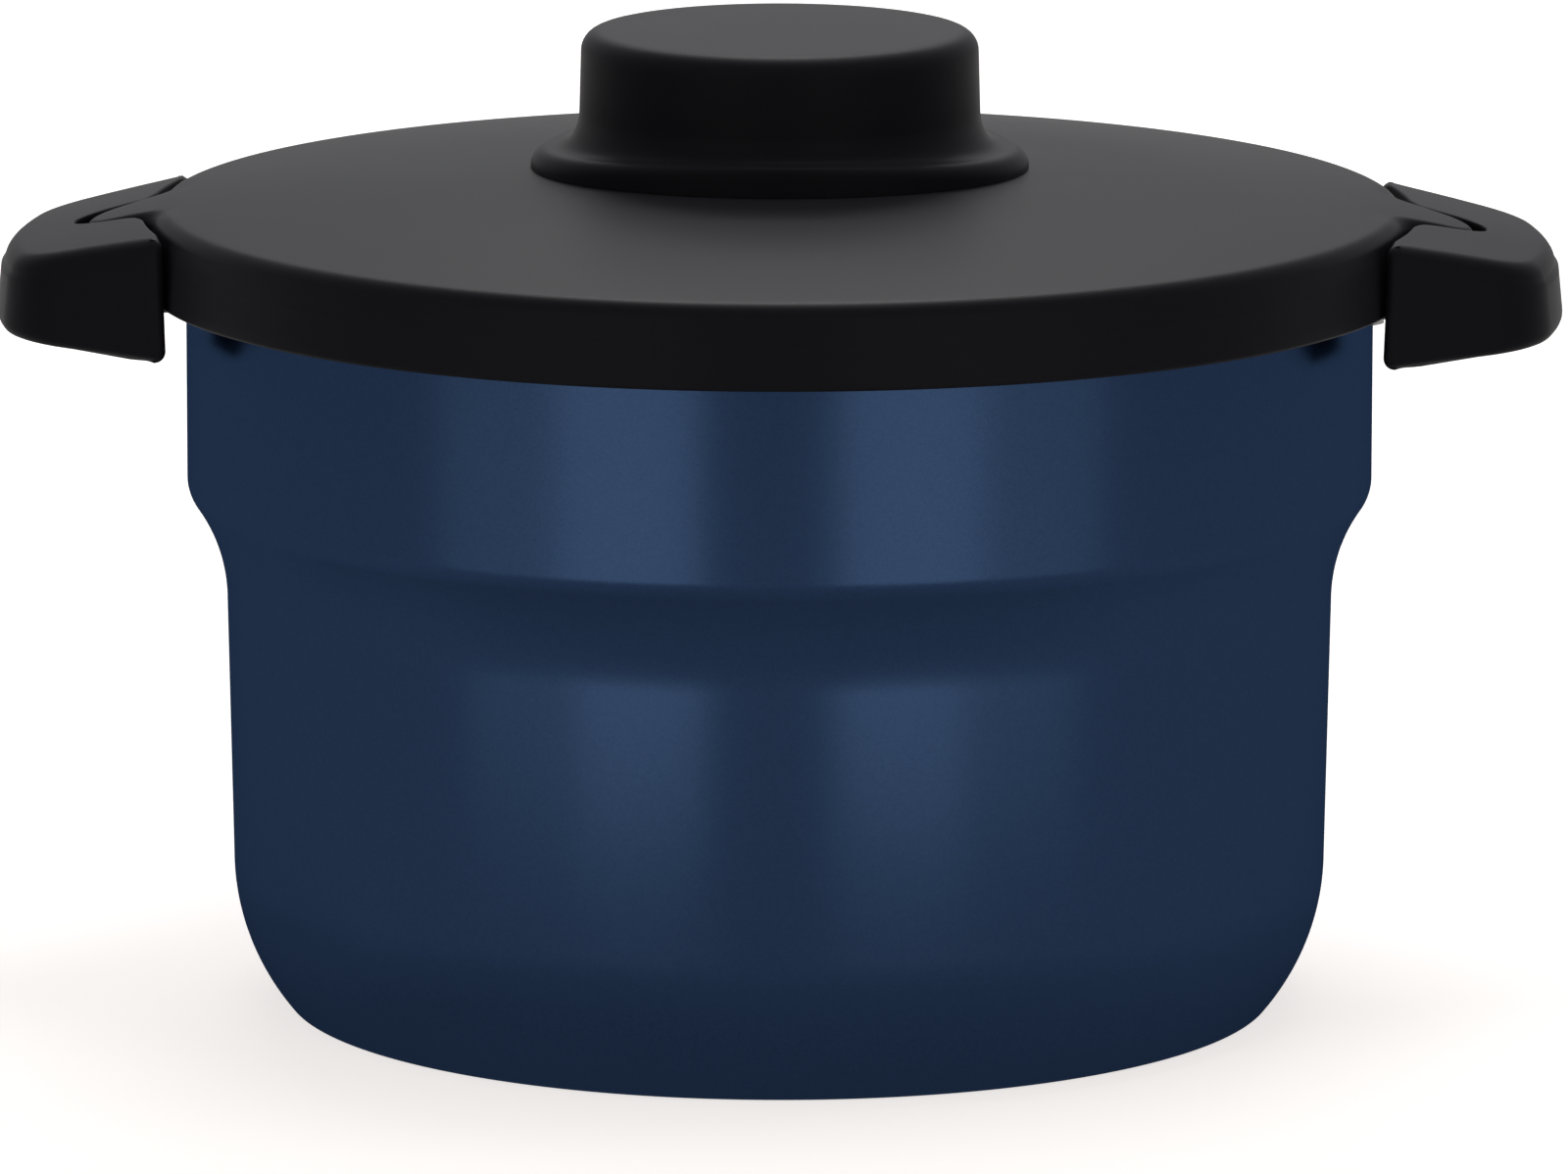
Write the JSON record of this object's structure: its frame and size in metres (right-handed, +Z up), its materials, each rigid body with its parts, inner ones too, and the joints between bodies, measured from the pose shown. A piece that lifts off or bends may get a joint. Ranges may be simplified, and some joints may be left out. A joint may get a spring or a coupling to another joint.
{
  "type": "thermal cooker",
  "caption": "Vacuum-walled thermal cooker: stepped steel vessel with side handles, a cooking pot with a glass lid inside it, and an insulated outer lid whose ears lock into the handles.",
  "frame": {"origin": "on the floor under the centre of the vessel", "axes": "+X through the right handle, +Y to the back, +Z up"},
  "size_m": [0.302, 0.244, 0.19],
  "materials": {
    "navy_paint": "semi-gloss baked paint on drawn steel",
    "stainless_steel": "satin stainless steel",
    "black_coated_steel": "pressed steel with a black baked coat",
    "getter_metal": "sintered metal pellet",
    "foil": "bright foil",
    "clad_aluminium": "aluminium core clad in steel",
    "black_plastic": "fine-grained moulded polypropylene",
    "inner_plastic": "smooth moulded polypropylene",
    "phenolic": "moulded phenolic resin",
    "tempered_glass": "clear tempered glass",
    "silicone": "matt silicone rubber",
    "foam": "closed-cell foam"
  },
  "bodies": {
    "vessel": {"outer_shell": "navy_paint", "inner_shell": "stainless_steel", "bottom_plate": "stainless_steel", "vacuum_seal_cap": "stainless_steel", "getter": "getter_metal", "reflector_foil": "foil", "mouth_collar": "black_plastic", "handle_bracket_left": "black_coated_steel", "handle_bracket_right": "black_coated_steel", "handle_left": "black_plastic", "handle_right": "black_plastic", "handle_screws_left": "stainless_steel", "handle_screws_right": "stainless_steel"},
    "pot": {"pot": "stainless_steel", "pot_base_disc": "clad_aluminium", "pot_strap_left": "stainless_steel", "pot_strap_right": "stainless_steel", "pot_grip_left": "phenolic", "pot_grip_right": "phenolic"},
    "pot_lid": {"pot_lid_glass": "tempered_glass", "pot_lid_rim": "stainless_steel", "pot_lid_knob": "phenolic", "pot_lid_screw": "stainless_steel", "pot_lid_washer": "silicone", "pot_lid_eyelet": "stainless_steel"},
    "lid": {"lid_cover": "black_plastic", "lid_knob": "black_plastic", "lid_knob_screws": "stainless_steel", "lid_inner_plate": "inner_plastic", "lid_insulation": "foam", "lid_seal": "silicone"}
  },
  "joints": [
    {"name": "pot_lift", "type": "slide", "parent": "vessel", "child": "pot", "axis": [0, 0, 1], "range_m": [0, 0.14]},
    {"name": "pot_lid_lift", "type": "slide", "parent": "pot", "child": "pot_lid", "axis": [0, 0, 1], "range_m": [0, 0.06]},
    {"name": "lid_lift", "type": "slide", "parent": "pot_lid", "child": "lid", "axis": [0, 0, 1], "range_m": [0, 0.08]}
  ]
}
